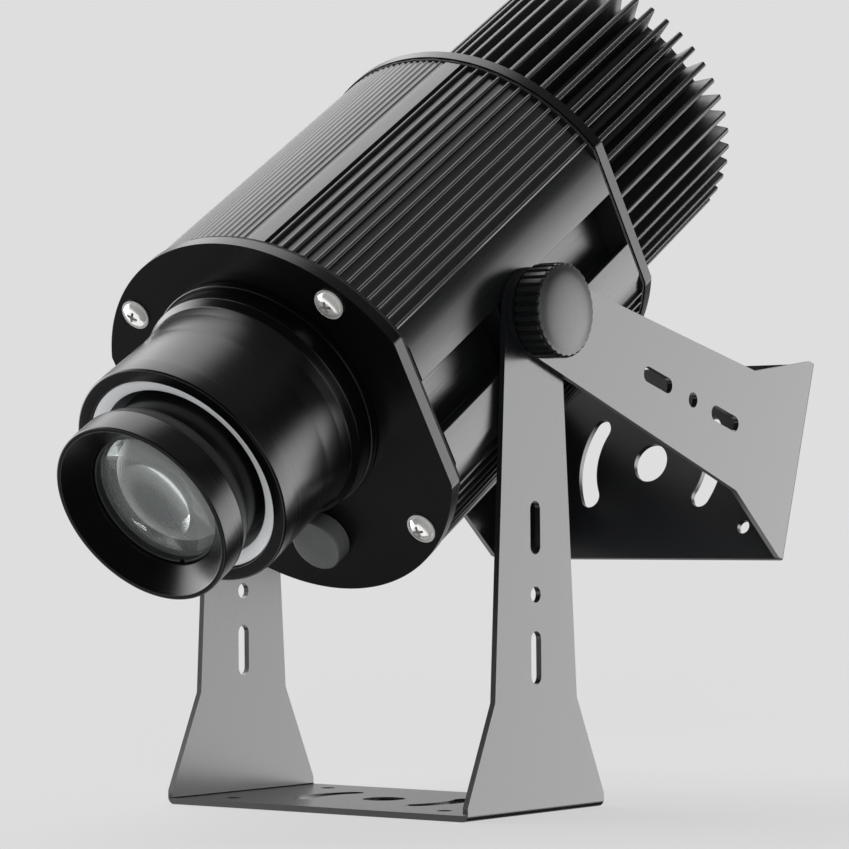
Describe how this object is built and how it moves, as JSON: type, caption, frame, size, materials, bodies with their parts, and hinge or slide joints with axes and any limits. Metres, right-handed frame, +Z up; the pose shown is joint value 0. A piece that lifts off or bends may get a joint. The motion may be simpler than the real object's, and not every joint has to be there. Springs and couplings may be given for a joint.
{
  "type": "gobo projector",
  "caption": "Gobo projector with a ribbed round head, finned heat sink and focusing lens tube, tilting between a floor bracket and a swinging bracket on side knobs.",
  "frame": {"origin": "middle of the bounding box, at the underside of the floor bracket", "axes": "+Z up, +X along the tilt pivot towards the near knob, -Y the way the lens points"},
  "size_m": [0.1896, 0.3682, 0.3499],
  "materials": {
    "bracket": "bent sheet, satin dark grey powder coat",
    "housing": "extruded, black anodised",
    "heat_sink": "extruded fins, black anodised",
    "plates": "machined plate, black anodised",
    "lens_housing": "turned, glossy black anodised",
    "lens_sleeve": "turned, clear anodised",
    "inner_rings": "turned, matt black anodised",
    "bare_aluminium": "milled, as machined",
    "optical_glass": "ground and polished, coated",
    "gobo_glass": "thin heat-proof glass",
    "bright_steel": "bright zinc or nickel plate",
    "steel": "turned, bright",
    "gaskets": "matt, die cut",
    "moulded_black": "moulded, fine satin",
    "acetal": "hobbed, satin white",
    "circuit_board": "white solder mask",
    "emitter": "phosphor under silicone"
  },
  "bodies": {
    "base": {"floor_bracket": "bracket"},
    "swing": {"swing_bracket": "bracket"},
    "head": {"housing": "housing", "front_gasket": "gaskets", "front_plate": "plates", "rear_gasket": "gaskets", "rear_plate": "plates", "front_screw_1": "bright_steel", "front_screw_2": "bright_steel", "front_screw_3": "bright_steel", "front_screw_4": "bright_steel", "rear_screw_1": "bright_steel", "rear_screw_2": "bright_steel", "rear_screw_3": "bright_steel", "rear_screw_4": "bright_steel", "heat_sink": "heat_sink", "sink_cover": "plates", "cable_gland": "moulded_black", "cover_screw_1": "bright_steel", "cover_screw_2": "bright_steel", "cover_screw_3": "bright_steel", "heat_spreader": "bare_aluminium", "led_board": "circuit_board", "led_emitter": "emitter", "condenser_holder": "inner_rings", "condenser_lens_rear": "optical_glass", "condenser_lens_front": "optical_glass", "condenser_clip_rear": "steel", "condenser_clip_front": "steel", "lens_flange": "lens_housing", "lens_tube": "lens_housing", "tube_lock_ring": "inner_rings", "focus_sleeve": "lens_sleeve", "rotator_plate": "bare_aluminium", "rotator_motor": "steel", "motor_cap": "moulded_black", "driver": "moulded_black", "near_tee_nut": "steel", "far_tee_nut": "steel"},
    "focus": {"focus_barrel": "lens_housing", "rear_objective_lens": "optical_glass", "rear_lens_ring": "inner_rings", "lens_hood": "lens_housing", "front_objective_lens": "optical_glass", "lens_retaining_ring": "inner_rings"},
    "gobo": {"gobo_gear": "acetal", "gobo_disc": "gobo_glass", "gobo_clip": "steel"},
    "pinion": {"motor_shaft": "steel", "motor_pinion": "acetal"},
    "near_clamp": {"near_knob": "moulded_black", "near_stud": "bright_steel", "near_washer": "bright_steel"},
    "far_clamp": {"far_knob": "moulded_black", "far_stud": "bright_steel", "far_washer": "bright_steel"}
  },
  "joints": [
    {"name": "head_tilt", "type": "hinge", "parent": "base", "child": "head", "pos_m": [0, -0.0182, 0.198], "axis": [1, 0, 0], "range_deg": [-122, 57]},
    {"name": "bracket_swing", "type": "hinge", "parent": "base", "child": "swing", "pos_m": [0, -0.0182, 0.198], "axis": [1, 0, 0], "range_deg": [-40, 250]},
    {"name": "focus_slide", "type": "slide", "parent": "head", "child": "focus", "axis": [0, -0.8415, -0.5402], "range_m": [-0.006, 0.012]},
    {"name": "gobo_spin", "type": "hinge", "parent": "head", "child": "gobo", "pos_m": [0, -0.02468, 0.2081], "axis": [0, -0.8415, -0.5402], "continuous": true},
    {"name": "pinion_spin", "type": "hinge", "parent": "head", "child": "pinion", "pos_m": [0, 0.01097, 0.15256], "axis": [0, -0.8415, -0.5402], "continuous": true},
    {"name": "near_knob_turn", "type": "hinge", "parent": "head", "child": "near_clamp", "pos_m": [0, -0.0182, 0.198], "axis": [1, 0, 0], "range_deg": [-180, 180]},
    {"name": "far_knob_turn", "type": "hinge", "parent": "head", "child": "far_clamp", "pos_m": [0, -0.0182, 0.198], "axis": [1, 0, 0], "range_deg": [-180, 180]}
  ],
  "couplings": [
    {"joint": "pinion_spin", "follows": "gobo_spin", "ratio": -3.7143}
  ]
}
